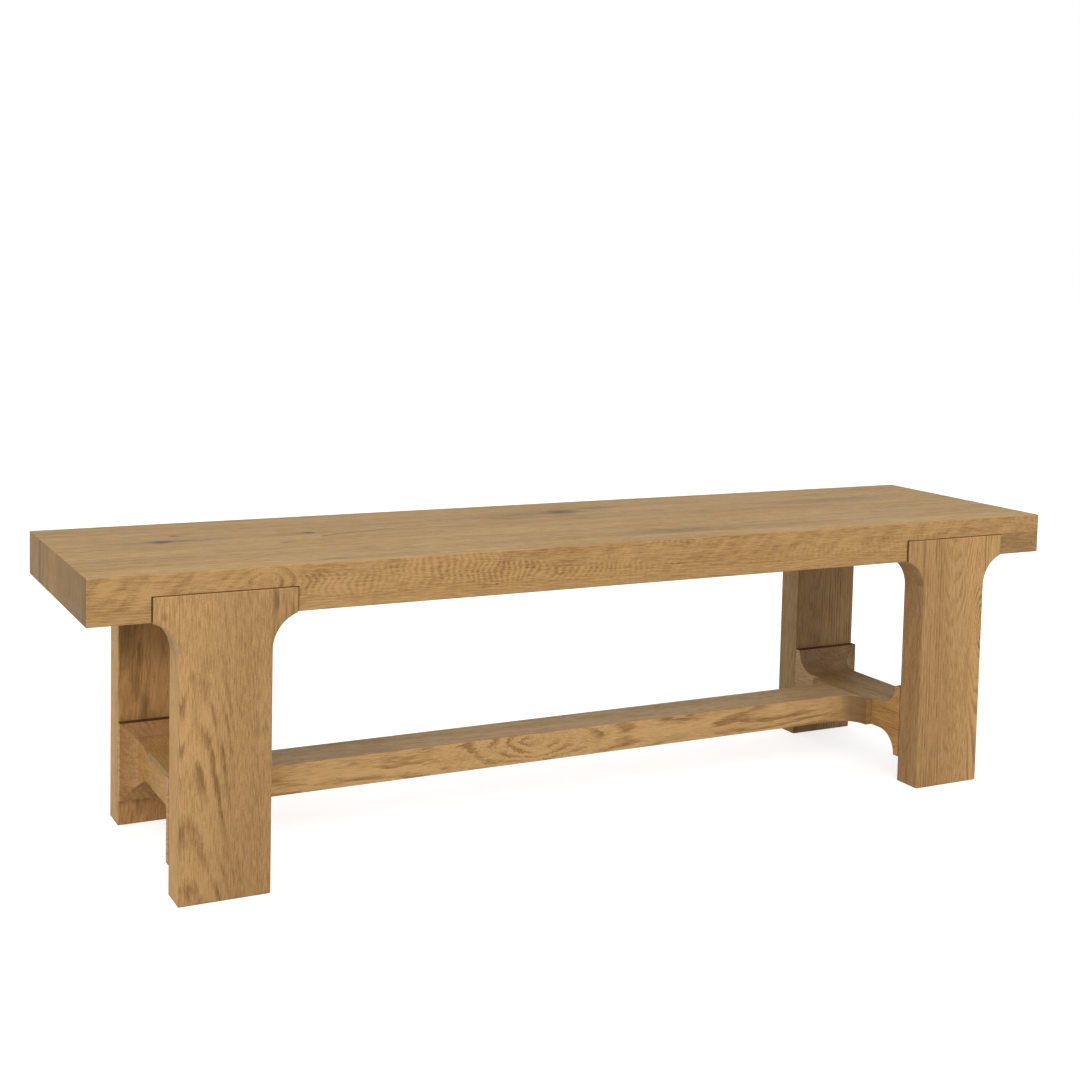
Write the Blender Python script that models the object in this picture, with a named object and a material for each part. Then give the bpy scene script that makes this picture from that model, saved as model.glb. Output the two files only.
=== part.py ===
# Trestle bench in oak: a built-up seat slab on two leg frames, tied by one long stretcher.
# Metres, +Z up. The origin is on the floor under the middle of the seat, the length runs
# along X and the front of the bench faces -Y.

import math

import bmesh
import bpy

# Seat slab
SEAT_HEIGHT = 0.457
SEAT_LENGTH = 1.642
SEAT_DEPTH = 0.398
SLAB_THICKNESS = 0.065
STAVE_THICKNESS = 0.0295
REAR_STAVE_WIDTH = 0.080
FRONT_STAVE_WIDTH = 0.134
RAIL_DEPTH = 0.030
SLAB_EASE = 0.0012

# Battens under the staves
BEARER_WIDTH = 0.070
BEARER_THICKNESS = 0.026
BATTEN_WIDTH = 0.060
BATTEN_THICKNESS = 0.022
BATTEN_EASE = 0.0010

# Legs: posts with a coved block glued on each side of the head
HEAD_OVERHANG = 0.0865
HEAD_WIDTH = 0.202
LEG_WIDTH = 0.130
LEG_THICKNESS = 0.0515
LEG_PROUD = 0.003
HEAD_CLEARANCE = 0.0014
HEAD_DROP = 0.0010
HEAD_COVE_RADIUS = 0.052
LEG_EASE = 0.0022

# Cross stretchers: a core with coved blocks glued on at both ends
STRETCHER_CENTRE_HEIGHT = 0.1025
STRETCHER_THICKNESS = 0.046
STRETCHER_COVE_RADIUS = 0.0375
STRETCHER_LIP = 0.012
CORE_HEIGHT = 0.076
EAR_WIDTH = 0.027
OUTER_SETBACK = 0.032
OUTER_COVE_REACH = 0.024
ARRIS_CHAMFER = 0.004

# Long stretcher: a core with a coved cheek glued on each side of both ends
LONG_WIDTH = 0.079
LONG_EASE = 0.0012

# Tenons: on both ends of the cross stretchers, the long stretcher and the bearers
TENON_LENGTH = 0.030
CROSS_TENON_WIDTH = 0.060
CROSS_TENON_HEIGHT = 0.040
LONG_TENON_WIDTH = 0.050
LONG_TENON_HEIGHT = 0.022
BEARER_TENON_WIDTH = 0.045
BEARER_TENON_HEIGHT = 0.012

# Bolts, washers and threaded inserts that hold the seat, and the screws of its batten
BOLT_RADIUS = 0.003
BOLT_REACH = 0.011
BOLT_HEAD_RADIUS = 0.006
BOLT_HEAD_HEIGHT = 0.0035
KEY_RADIUS = 0.0023
KEY_DEPTH = 0.002
WASHER_RADIUS = 0.009
WASHER_THICKNESS = 0.0015
INSERT_RADIUS = 0.005
INSERT_LENGTH = 0.014
SCREW_RADIUS = 0.0022
SCREW_REACH = 0.016
SCREW_HEAD_RADIUS = 0.0044
SCREW_HEAD_HEIGHT = 0.0028

# Joints and cuts
JOINT_GAP = 0.0003
CUT_OVERRUN = 0.010

# Facets
COVE_STEPS = 24
ROUND_SIDES = 16
EASE_SEGMENTS = 2
EASE_ANGLE = math.radians(35)

# Sizes that follow from the ones above
HALF_LENGTH = SEAT_LENGTH / 2
HALF_DEPTH = SEAT_DEPTH / 2
SLAB_BOTTOM = SEAT_HEIGHT - SLAB_THICKNESS
STAVE_BOTTOM = SEAT_HEIGHT - STAVE_THICKNESS
RAIL_TOP = STAVE_BOTTOM - JOINT_GAP
HALF_HEAD = HEAD_WIDTH / 2
HALF_LEG = LEG_WIDTH / 2
FRAME_X = HALF_LENGTH - HEAD_OVERHANG - HALF_HEAD
LEG_FACE = HALF_DEPTH + LEG_PROUD
LEG_BACK = LEG_FACE - LEG_THICKNESS
PAD_HALF_HEIGHT = STRETCHER_THICKNESS / 2 + STRETCHER_COVE_RADIUS
CROSS_HALF_LENGTH = LEG_BACK - JOINT_GAP
LONG_HALF_LENGTH = FRAME_X - HALF_LEG - JOINT_GAP
BEARER_BOTTOM = RAIL_TOP - BEARER_THICKNESS
BATTEN_BOTTOM = RAIL_TOP - BATTEN_THICKNESS
REAR_JOINT_Y = HALF_DEPTH - REAR_STAVE_WIDTH
FRONT_JOINT_Y = FRONT_STAVE_WIDTH - HALF_DEPTH
MIDDLE_ROW = (FRONT_JOINT_Y + REAR_JOINT_Y) / 2
FRONT_ROW = (FRONT_JOINT_Y - CROSS_HALF_LENGTH) / 2
REAR_ROW = (REAR_JOINT_Y + CROSS_HALF_LENGTH) / 2
ENDS = {"front": -1, "rear": 1}
SIDES = {"left": -1, "right": 1}


def clear_scene():
    for item in list(bpy.data.objects):
        bpy.data.objects.remove(item, do_unlink=True)


def make_material(name, colour, roughness, metallic=0.0):
    material = bpy.data.materials.new(name)
    material.use_nodes = True
    shader = material.node_tree.nodes["Principled BSDF"]
    shader.inputs["Base Color"].default_value = (*colour, 1.0)
    shader.inputs["Roughness"].default_value = roughness
    shader.inputs["Metallic"].default_value = metallic
    return material


# Oak tones by where the board sits, and the hardware
OAK_TONES = {
    "top": (0.42, 0.27, 0.13),
    "edge": (0.45, 0.27, 0.11),
    "leg": (0.44, 0.27, 0.12),
    "block": (0.38, 0.23, 0.10),
    "stretcher": (0.42, 0.25, 0.11),
    "hidden": (0.48, 0.34, 0.19),
}
OAK_ROUGHNESS = 0.55
STEEL_TONE = (0.55, 0.55, 0.56)
STEEL_ROUGHNESS = 0.35
STEEL_METALLIC = 1.0


def oak(node, tone):
    return make_material(node + "_oak", OAK_TONES[tone], OAK_ROUGHNESS)


def steel(node):
    return make_material(node + "_steel", STEEL_TONE, STEEL_ROUGHNESS, STEEL_METALLIC)


def place(name, mesh, parent=None, material=None, location=(0, 0, 0)):
    item = bpy.data.objects.new(name, mesh)
    bpy.context.scene.collection.objects.link(item)
    item.location = location
    item.parent = parent
    if material:
        mesh.materials.append(material)
    return item


def make_empty(name, location=(0, 0, 0), turn=0.0):
    item = bpy.data.objects.new(name, None)
    bpy.context.scene.collection.objects.link(item)
    item.location = location
    item.rotation_euler = (0, 0, turn)
    return item


def finish_mesh(name, form):
    bmesh.ops.recalc_face_normals(form, faces=form.faces)
    mesh = bpy.data.meshes.new(name)
    form.to_mesh(mesh)
    form.free()
    mesh.shade_smooth()
    mesh.set_sharp_from_angle(angle=EASE_ANGLE)
    return mesh


def prism_mesh(name, outline, low, high, spread):
    """Extrude a closed outline of (u, v) points; spread(u, v, w) gives the point at depth w."""
    form = bmesh.new()
    near = [form.verts.new(spread(u, v, low)) for u, v in outline]
    far = [form.verts.new(spread(u, v, high)) for u, v in outline]
    form.faces.new(near)
    form.faces.new(list(reversed(far)))
    for index in range(len(outline)):
        following = (index + 1) % len(outline)
        form.faces.new((near[following], near[index], far[index], far[following]))
    return finish_mesh(name, form)


def along_x(y, z, x):
    return (x, y, z)


def along_y(x, z, y):
    return (x, y, z)


def along_z(x, y, z):
    return (x, y, z)


def box_mesh(name, low, high):
    outline = [(low[0], low[1]), (high[0], low[1]), (high[0], high[1]), (low[0], high[1])]
    return prism_mesh(name, outline, low[2], high[2], along_z)


def turned_mesh(name, profile):
    """Spin an (r, z) profile, listed counterclockwise, round the vertical line through zero."""
    form = bmesh.new()
    turns = [2 * math.pi * index / ROUND_SIDES for index in range(ROUND_SIDES)]
    rings = []
    for radius, height in profile:
        spots = turns if radius else turns[:1]
        rings.append([form.verts.new((radius * math.cos(turn), radius * math.sin(turn), height))
                      for turn in spots])
    pairs = list(zip(rings, rings[1:]))
    if profile[0][0]:
        pairs.append((rings[-1], rings[0]))
    for low, high in pairs:
        for index in range(ROUND_SIDES):
            following = (index + 1) % ROUND_SIDES
            corners = (low[index % len(low)], low[following % len(low)],
                       high[following % len(high)], high[index % len(high)])
            form.faces.new(list(dict.fromkeys(corners)))
    return finish_mesh(name, form)


def cutter(name, mesh, parent=None):
    item = place(name, mesh, parent)
    item.hide_render = True
    item.display_type = "WIRE"
    return item


def add_boolean(item, tool, operation):
    step = item.modifiers.new(operation.lower() + "_" + tool.name, "BOOLEAN")
    step.object = tool
    step.operation = operation
    step.solver = "EXACT"


def add_ease(item, width):
    step = item.modifiers.new("ease", "BEVEL")
    step.width = width
    step.segments = EASE_SEGMENTS
    step.limit_method = "ANGLE"
    step.angle_limit = EASE_ANGLE


def parted(name, blank, low, high, parent, material, ease=0.0):
    """The piece of a blank, eased all round beforehand, that lies between two corners."""
    item = place(name, blank, parent, material)
    if ease:
        add_ease(item, ease)
    keep = cutter("keep_" + name, box_mesh("keep_" + name, low, high), parent)
    add_boolean(item, keep, "INTERSECT")
    return item


def block(name, low, high, parent, material, ease):
    """A board between two corners with eased edges."""
    item = place(name, box_mesh(name, low, high), parent, material)
    add_ease(item, ease)
    return item


def add_tenons(item, low, high, parent):
    """Join a bar through the item, whose ends stand out as tenons, and give its mortise cutter."""
    name = "tenons_" + item.name
    add_boolean(item, cutter(name, box_mesh(name, low, high), parent), "UNION")
    name = "mortises_for_" + item.name
    grown_low = [value - JOINT_GAP for value in low]
    grown_high = [value + JOINT_GAP for value in high]
    return cutter(name, box_mesh(name, grown_low, grown_high), parent)


def bore(items, name, profile, location, parent):
    """Drill a turned hole out of the items that it passes through."""
    drill = cutter("drill_" + name, turned_mesh("drill_" + name, profile), parent)
    drill.location = location
    for item in items:
        add_boolean(item, drill, "DIFFERENCE")


def slab_piece(name, low, high, bench, tone):
    """A board of the slab: sharp at its joints and eased where it meets the slab's outside."""
    blank = box_mesh(name, (-HALF_LENGTH, -HALF_DEPTH, SLAB_BOTTOM),
                     (HALF_LENGTH, HALF_DEPTH, SEAT_HEIGHT))
    return parted(name, blank, low, high, bench, oak(name, tone), SLAB_EASE)


def make_staves(bench):
    """Three staves side by side form the upper layer of the slab."""
    far_x = HALF_LENGTH + CUT_OVERRUN
    far_y = HALF_DEPTH + CUT_OVERRUN
    half_gap = JOINT_GAP / 2
    rows = {"front": (-far_y, FRONT_JOINT_Y - half_gap),
            "middle": (FRONT_JOINT_Y + half_gap, REAR_JOINT_Y - half_gap),
            "rear": (REAR_JOINT_Y + half_gap, far_y)}
    return [slab_piece("seat_stave_" + row, (-far_x, start, STAVE_BOTTOM),
                       (far_x, stop, SEAT_HEIGHT + CUT_OVERRUN), bench, "top")
            for row, (start, stop) in rows.items()]


def make_edge_rails(bench):
    """Rails under the long edges, in three lengths with a housing for each leg head between."""
    housing_low = FRAME_X - HALF_HEAD - HEAD_CLEARANCE
    housing_high = FRAME_X + HALF_HEAD + HEAD_CLEARANCE
    far_x = HALF_LENGTH + CUT_OVERRUN
    spans = {"left": (-far_x, -housing_high), "middle": (-housing_low, housing_low),
             "right": (housing_high, far_x)}
    for end, sign in ENDS.items():
        near, far = sorted((sign * (HALF_DEPTH - RAIL_DEPTH), sign * (HALF_DEPTH + CUT_OVERRUN)))
        for span, (start, stop) in spans.items():
            slab_piece("_".join((end, "rail", span)), (start, near, SLAB_BOTTOM - CUT_OVERRUN),
                       (stop, far, RAIL_TOP), bench, "edge")


def make_end_rails(bench):
    """Rails under the short edges, between the long ones."""
    reach = HALF_DEPTH - RAIL_DEPTH - JOINT_GAP
    for side, sign in SIDES.items():
        near, far = sorted((sign * (HALF_LENGTH - RAIL_DEPTH), sign * (HALF_LENGTH + CUT_OVERRUN)))
        slab_piece("end_rail_" + side, (near, -reach, SLAB_BOTTOM - CUT_OVERRUN),
                   (far, reach, RAIL_TOP), bench, "edge")


def leg_outline():
    """T-shaped outline of a leg as (x, z): a post with a cove under each wing of its head."""
    wing = HALF_HEAD - HALF_LEG
    stop = math.acos((wing - HEAD_COVE_RADIUS) / HEAD_COVE_RADIUS)
    wing_bottom = SLAB_BOTTOM - HEAD_DROP
    start_height = wing_bottom - HEAD_COVE_RADIUS * math.sin(stop)
    cove = []
    for step in range(COVE_STEPS + 1):
        angle = math.pi + (stop - math.pi) * step / COVE_STEPS
        cove.append((HALF_LEG + HEAD_COVE_RADIUS * (1 + math.cos(angle)),
                     start_height + HEAD_COVE_RADIUS * math.sin(angle)))
    right = [(HALF_LEG, 0)] + cove + [(HALF_HEAD, RAIL_TOP)]
    left = [(-x, z) for x, z in reversed(right)]
    return right + left


def make_leg(frame, side, end, sign, mortises):
    """One leg: a T-shaped blank with eased edges, parted into its post and two head blocks."""
    low, high = sorted((sign * LEG_FACE, sign * LEG_BACK))
    parts = {"leg_post": (-HALF_LEG, HALF_LEG),
             "inner_head_block": (-HALF_HEAD - CUT_OVERRUN, -HALF_LEG - JOINT_GAP),
             "outer_head_block": (HALF_LEG + JOINT_GAP, HALF_HEAD + CUT_OVERRUN)}
    for part, (start, stop) in parts.items():
        name = "_".join((part, side, end))
        tone = "leg" if part == "leg_post" else "block"
        blank = prism_mesh(name, leg_outline(), low, high, along_y)
        item = parted(name, blank, (start, low - CUT_OVERRUN, -CUT_OVERRUN),
                      (stop, high + CUT_OVERRUN, SEAT_HEIGHT), frame, oak(name, tone), LEG_EASE)
        if part == "leg_post":
            for mortise in mortises:
                add_boolean(item, mortise, "DIFFERENCE")


def cross_side_outline():
    """Side view of a cross stretcher as (y, z), coved above and below at both ends."""
    lip = CROSS_HALF_LENGTH - STRETCHER_LIP
    quarter = [(CROSS_HALF_LENGTH, PAD_HALF_HEIGHT)]
    for step in range(COVE_STEPS + 1):
        angle = math.pi / 2 * step / COVE_STEPS
        quarter.append((lip - STRETCHER_COVE_RADIUS * (1 - math.cos(angle)),
                        PAD_HALF_HEIGHT - STRETCHER_COVE_RADIUS * math.sin(angle)))
    upper = quarter + [(-y, z) for y, z in reversed(quarter)]
    lower = [(-y, -z) for y, z in upper]
    return [(y, STRETCHER_CENTRE_HEIGHT + z) for y, z in upper + lower]


def cross_plan_outline():
    """Plan of a cross stretcher as (x, y): straight inside, coved on the outer side."""
    lip = CROSS_HALF_LENGTH - STRETCHER_LIP
    beyond = CROSS_HALF_LENGTH + CUT_OVERRUN
    rear = [(HALF_LEG, beyond)]
    for step in range(COVE_STEPS + 1):
        angle = math.pi / 2 * step / COVE_STEPS
        rear.append((HALF_LEG - OUTER_SETBACK * math.sin(angle),
                     lip - OUTER_COVE_REACH * (1 - math.cos(angle))))
    outer = rear + [(x, -y) for x, y in reversed(rear)]
    return outer + [(-HALF_LEG, -beyond), (-HALF_LEG, beyond)]


def cross_parts(side, turn):
    """Where a cross stretcher is parted: name to the lowest and highest corner of each piece."""
    core_low = STRETCHER_CENTRE_HEIGHT - CORE_HEIGHT / 2
    core_high = STRETCHER_CENTRE_HEIGHT + CORE_HEIGHT / 2
    bottom = STRETCHER_CENTRE_HEIGHT - PAD_HALF_HEIGHT - CUT_OVERRUN
    top = STRETCHER_CENTRE_HEIGHT + PAD_HALF_HEIGHT + CUT_OVERRUN
    far = HALF_LEG + CUT_OVERRUN
    ear = HALF_LEG - EAR_WIDTH
    reach = CROSS_HALF_LENGTH + CUT_OVERRUN
    parts = {"cross_stretcher_" + side: ((-far, -reach, core_low), (ear, reach, core_high))}
    for end, sign in ENDS.items():
        low, high = sorted((0, sign * turn * reach))
        place_name = "_".join((side, end))
        parts["upper_cove_block_" + place_name] = ((-far, low, core_high + JOINT_GAP),
                                                   (far, high, top))
        parts["lower_cove_block_" + place_name] = ((-far, low, bottom),
                                                   (far, high, core_low - JOINT_GAP))
        parts["side_cove_block_" + place_name] = ((ear + JOINT_GAP, low, core_low),
                                                  (far, high, core_high))
    return parts


def arris_outline():
    """Section of the chamfer on a cross stretcher's outer top edge as (x, z)."""
    edge_x = HALF_LEG - OUTER_SETBACK
    edge_z = STRETCHER_CENTRE_HEIGHT + STRETCHER_THICKNESS / 2
    past = ARRIS_CHAMFER + CUT_OVERRUN
    return [(edge_x - past, edge_z + CUT_OVERRUN), (edge_x + CUT_OVERRUN, edge_z - past),
            (edge_x + CUT_OVERRUN, edge_z + CUT_OVERRUN)]


def make_cross_stretcher(frame, side, turn):
    """A dog-bone blank, coved on three sides of both ends, parted into core and cove blocks."""
    plan = prism_mesh("plan_" + side, cross_plan_outline(), -CUT_OVERRUN, SLAB_BOTTOM, along_z)
    plan_tool = cutter("plan_of_cross_stretcher_" + side, plan, frame)
    reach = HALF_LEG + CUT_OVERRUN + CUT_OVERRUN
    made = {}
    for name, (low, high) in cross_parts(side, turn).items():
        tone = "block" if "block" in name else "stretcher"
        blank = prism_mesh(name, cross_side_outline(), -reach, reach, along_x)
        made[name] = parted(name, blank, low, high, frame, oak(name, tone))
        add_boolean(made[name], plan_tool, "INTERSECT")
    core = made["cross_stretcher_" + side]
    straight = CROSS_HALF_LENGTH - STRETCHER_LIP - STRETCHER_COVE_RADIUS
    chamfer = prism_mesh("chamfer_" + side, arris_outline(), -straight, straight, along_y)
    add_boolean(core, cutter("chamfer_" + side, chamfer, frame), "DIFFERENCE")
    return core


def make_leg_frame(bench, side, turn):
    """Two legs, their cross stretcher and the bearer under the seat, as one end of the bench."""
    frame = make_empty("leg_frame_" + side, (turn * FRAME_X, 0, 0), 0 if turn > 0 else math.pi)
    frame.parent = bench
    reach = CROSS_HALF_LENGTH + TENON_LENGTH
    core = make_cross_stretcher(frame, side, turn)
    middle_x = -EAR_WIDTH / 2
    cross_mortises = add_tenons(
        core,
        (middle_x - CROSS_TENON_WIDTH / 2, -reach, STRETCHER_CENTRE_HEIGHT - CROSS_TENON_HEIGHT / 2),
        (middle_x + CROSS_TENON_WIDTH / 2, reach, STRETCHER_CENTRE_HEIGHT + CROSS_TENON_HEIGHT / 2),
        frame)
    name = "seat_bearer_" + side
    bearer = block(name, (-BEARER_WIDTH / 2, -CROSS_HALF_LENGTH, BEARER_BOTTOM),
                   (BEARER_WIDTH / 2, CROSS_HALF_LENGTH, RAIL_TOP), frame, oak(name, "hidden"),
                   BATTEN_EASE)
    middle_z = (BEARER_BOTTOM + RAIL_TOP) / 2
    bearer_mortises = add_tenons(
        bearer,
        (-BEARER_TENON_WIDTH / 2, -reach, middle_z - BEARER_TENON_HEIGHT / 2),
        (BEARER_TENON_WIDTH / 2, reach, middle_z + BEARER_TENON_HEIGHT / 2),
        frame)
    for end, sign in ENDS.items():
        make_leg(frame, side, end, sign * turn, (cross_mortises, bearer_mortises))
    return core, bearer


def cheek_outline():
    """Plan of a cheek block at the right end as (x, y): a lip, then a cove that runs out."""
    half = LONG_WIDTH / 2
    lip = LONG_HALF_LENGTH - STRETCHER_LIP
    inner = half + JOINT_GAP
    start = math.acos(1 - JOINT_GAP / STRETCHER_COVE_RADIUS)
    points = [(LONG_HALF_LENGTH, inner), (LONG_HALF_LENGTH, half + STRETCHER_COVE_RADIUS)]
    for step in range(COVE_STEPS + 1):
        angle = math.pi / 2 + (start - math.pi / 2) * step / COVE_STEPS
        points.append((lip - STRETCHER_COVE_RADIUS * (1 - math.sin(angle)),
                       half + STRETCHER_COVE_RADIUS * (1 - math.cos(angle))))
    return points


def make_long_stretcher(bench, cross_cores):
    """The stretcher that ties the two leg frames, with a cheek on each side of both ends."""
    low = STRETCHER_CENTRE_HEIGHT - STRETCHER_THICKNESS / 2
    high = STRETCHER_CENTRE_HEIGHT + STRETCHER_THICKNESS / 2
    half = LONG_WIDTH / 2
    name = "long_stretcher"
    core = block(name, (-LONG_HALF_LENGTH, -half, low), (LONG_HALF_LENGTH, half, high),
                 bench, oak(name, "stretcher"), LONG_EASE)
    reach = LONG_HALF_LENGTH + TENON_LENGTH
    mortises = add_tenons(
        core,
        (-reach, -LONG_TENON_WIDTH / 2, STRETCHER_CENTRE_HEIGHT - LONG_TENON_HEIGHT / 2),
        (reach, LONG_TENON_WIDTH / 2, STRETCHER_CENTRE_HEIGHT + LONG_TENON_HEIGHT / 2),
        bench)
    for cross_core in cross_cores:
        add_boolean(cross_core, mortises, "DIFFERENCE")
    for side, across in SIDES.items():
        for end, sign in ENDS.items():
            name = "_".join(("stretcher_cheek", side, end))
            outline = [(across * x, sign * y) for x, y in cheek_outline()]
            place(name, prism_mesh(name, outline, low, high, along_z), bench, oak(name, "block"))


def rod_profile(radius, low, high):
    return [(0, low), (radius, low), (radius, high), (0, high)]


def tube_profile(inner, outer, height):
    return [(inner, 0), (outer, 0), (outer, height), (inner, height)]


def make_seat_bolt(bench, place_name, x, y, bearer, stave):
    """A bolt up through the bearer, with a washer under its head, into an insert in the stave."""
    washer_bottom = BEARER_BOTTOM - JOINT_GAP - WASHER_THICKNESS
    head_bottom = washer_bottom - JOINT_GAP - BOLT_HEAD_HEIGHT
    length = STAVE_BOTTOM + BOLT_REACH - head_bottom
    hole = BOLT_RADIUS + JOINT_GAP
    bolt = [(0, KEY_DEPTH), (KEY_RADIUS, KEY_DEPTH), (KEY_RADIUS, 0), (BOLT_HEAD_RADIUS, 0),
            (BOLT_HEAD_RADIUS, BOLT_HEAD_HEIGHT), (BOLT_RADIUS, BOLT_HEAD_HEIGHT),
            (BOLT_RADIUS, length), (0, length)]
    washer = tube_profile(hole, WASHER_RADIUS, WASHER_THICKNESS)
    insert = tube_profile(hole, INSERT_RADIUS, INSERT_LENGTH)
    for piece, profile, base in (("seat_bolt", bolt, head_bottom),
                                 ("seat_bolt_washer", washer, washer_bottom),
                                 ("threaded_insert", insert, STAVE_BOTTOM)):
        name = piece + place_name
        place(name, turned_mesh(name, profile), bench, steel(name), (x, y, base))
    shank = rod_profile(hole, -CUT_OVERRUN, BEARER_THICKNESS + CUT_OVERRUN)
    bore([bearer], "shank" + place_name, shank, (x, y, BEARER_BOTTOM), bench)
    socket = rod_profile(INSERT_RADIUS + JOINT_GAP, -CUT_OVERRUN, INSERT_LENGTH + JOINT_GAP)
    bore([stave], "socket" + place_name, socket, (x, y, STAVE_BOTTOM), bench)


def make_seat_bolts(bench, staves, bearers):
    rows = {"front": (FRONT_ROW, staves[0]), "rear": (REAR_ROW, staves[-1])}
    for (side, sign), bearer in zip(SIDES.items(), bearers):
        for end, (y, stave) in rows.items():
            make_seat_bolt(bench, "_" + side + "_" + end, sign * FRAME_X, y, bearer, stave)


def screw_profile(clearance):
    """Half section of a countersunk screw as (r, z), grown by a clearance."""
    length = BATTEN_THICKNESS + SCREW_REACH + clearance
    head = SCREW_HEAD_RADIUS + clearance
    shank = SCREW_RADIUS + clearance
    return [(head, 0), (shank, SCREW_HEAD_HEIGHT), (shank, length), (0, length)]


def make_batten(bench, staves):
    """A batten across the middle of the seat, held by a countersunk screw into each stave."""
    reach = HALF_DEPTH - RAIL_DEPTH - JOINT_GAP
    name = "middle_batten"
    batten = block(name, (-BATTEN_WIDTH / 2, -reach, BATTEN_BOTTOM),
                   (BATTEN_WIDTH / 2, reach, RAIL_TOP), bench, oak(name, "hidden"), BATTEN_EASE)
    for row, y, stave in zip(("front", "middle", "rear"), (FRONT_ROW, MIDDLE_ROW, REAR_ROW), staves):
        name = "batten_screw_" + row
        spot = (0, y, BATTEN_BOTTOM)
        place(name, turned_mesh(name, [(0, 0)] + screw_profile(0)), bench, steel(name), spot)
        hole = screw_profile(JOINT_GAP)
        mouth = [(0, -CUT_OVERRUN), (hole[0][0], -CUT_OVERRUN)]
        bore([batten, stave], name, mouth + hole, spot, bench)


def build_bench():
    clear_scene()
    bench = make_empty("bench")
    staves = make_staves(bench)
    make_edge_rails(bench)
    make_end_rails(bench)
    frames = [make_leg_frame(bench, side, turn) for side, turn in SIDES.items()]
    make_long_stretcher(bench, [core for core, bearer in frames])
    make_seat_bolts(bench, staves, [bearer for core, bearer in frames])
    make_batten(bench, staves)


build_bench()
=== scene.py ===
import math
from collections import namedtuple
from itertools import count

import bpy
from mathutils import Euler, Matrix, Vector


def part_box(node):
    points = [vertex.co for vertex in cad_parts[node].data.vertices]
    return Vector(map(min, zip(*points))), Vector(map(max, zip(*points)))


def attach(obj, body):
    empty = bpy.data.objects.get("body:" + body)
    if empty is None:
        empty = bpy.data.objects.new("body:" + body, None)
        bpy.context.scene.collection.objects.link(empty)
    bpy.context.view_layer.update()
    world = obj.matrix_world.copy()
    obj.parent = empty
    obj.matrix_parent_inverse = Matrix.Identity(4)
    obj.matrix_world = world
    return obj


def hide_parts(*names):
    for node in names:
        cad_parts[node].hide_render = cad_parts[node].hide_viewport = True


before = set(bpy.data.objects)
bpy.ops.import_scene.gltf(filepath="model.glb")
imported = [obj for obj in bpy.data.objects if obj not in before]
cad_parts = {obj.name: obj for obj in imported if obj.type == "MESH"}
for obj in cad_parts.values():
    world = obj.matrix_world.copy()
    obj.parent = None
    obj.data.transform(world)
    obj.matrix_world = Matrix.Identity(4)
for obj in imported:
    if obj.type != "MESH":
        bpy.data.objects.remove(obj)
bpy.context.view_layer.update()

# Camera: place in metres, turns in degrees, lens and sensor in millimetres, shift as a share
CAMERA_PLACE = (-1.2721, -2.3407, 0.8849)
CAMERA_AZIMUTH = -27.309
CAMERA_DOWN = 4.239
CAMERA_ROLL = 1.306
CAMERA_LENS = 55.02
CAMERA_SENSOR = 36.0
CAMERA_SHIFT = -0.148

# Floor: its side in metres, its grey as a surface, and the glow that the camera sees on top
FLOOR_SIZE = 60.0
FLOOR_GREY = 0.60
FLOOR_GLOW = 0.73
# The world's strength as a light, and as the camera sees it
AMBIENT = 0.76
CAMERA_WHITE = 1.0
WHITE = (1.0, 1.0, 1.0, 1.0)

# Soft boxes: azimuth from the front and height in degrees, distance and side in metres, watts
AIM = (0.0, 0.0, 0.3)
LIGHTS = {
    "front_right": (20.0, 45.0, 4.0, 1.6, 25.0),
    "front_left": (-22.0, 38.0, 4.0, 1.6, 28.0),
    "left": (-85.0, 20.0, 4.0, 1.6, 23.0),
}

# Colours by piece, as sRGB out of 255: the mean, which each board's lines and streaks vary
TOP_TAN = (165, 133, 84)
EDGE_GOLD = (180, 141, 91)
EDGE_DARK = (164, 128, 83)
END_BROWN = (141, 109, 58)
LEG_GOLD = (181, 142, 93)
LEG_PALE = (189, 148, 89)
# Painted shade: a darker copy of the pale side colour, for the right front leg's sides
LEG_PAINTED_SHADE_SIDE = (175, 138, 91)
REAR_GOLD = (191, 148, 95)
REAR_BROWN = (168, 137, 97)
# Painted shade: a darker side colour for the right rear leg
REAR_PAINTED_SHADE_SIDE = (171, 141, 99)
CORE_GOLD = (181, 139, 84)
CORE_BRIGHT = (197, 151, 92)
CROSS_GOLD = (190, 148, 92)
CROSS_TAN = (158, 128, 81)
PAD_GOLD = (190, 147, 97)
PAD_BROWN = (155, 127, 94)
PAD_PALE = (196, 164, 124)
STRETCHER_GOLD = (198, 158, 105)
STRETCHER_TAN = (182, 153, 111)
# Painted highlight: the grey of the cross stretchers' chamfers
ARRIS_HIGHLIGHT_GREY = (150, 134, 108)
KNOT_DARK = (58, 52, 48)
BLOT_BROWN = (92, 66, 40)
# Painted shade: the dark of shadowed joints, on leg heads in their housings and on the tops of
# the rear upper cove blocks
JOINT_SHADE_DARK = (104, 72, 42)
# Painted shade: the brown that darkens the long stretcher's cheeks where they curve, also laid on
# their lips
COVE_SHADE_BROWN = (121, 91, 57)
BARE_OAK = (196, 168, 128)
ZINC = (150, 150, 152)

# How far a board's lightest and darkest wood lie from its mean, as shares of it, and how far
# the mean lies from the lightest to the darkest
LIGHT_SHARES = (1.20, 1.21, 1.23)
DARK_SHARES = (0.56, 0.50, 0.44)
MEAN_AMOUNT = 0.30

# Noise: repeats per metre, first along the grain in a board's oak, detail and roughness
Noise = namedtuple("Noise", "scale detail roughness", defaults=(2.0, 0.5))
# How far one step of the seed moves a board's oak through the noise, in metres
SEED_STEP = (7.3, 3.1, 5.7)

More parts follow.
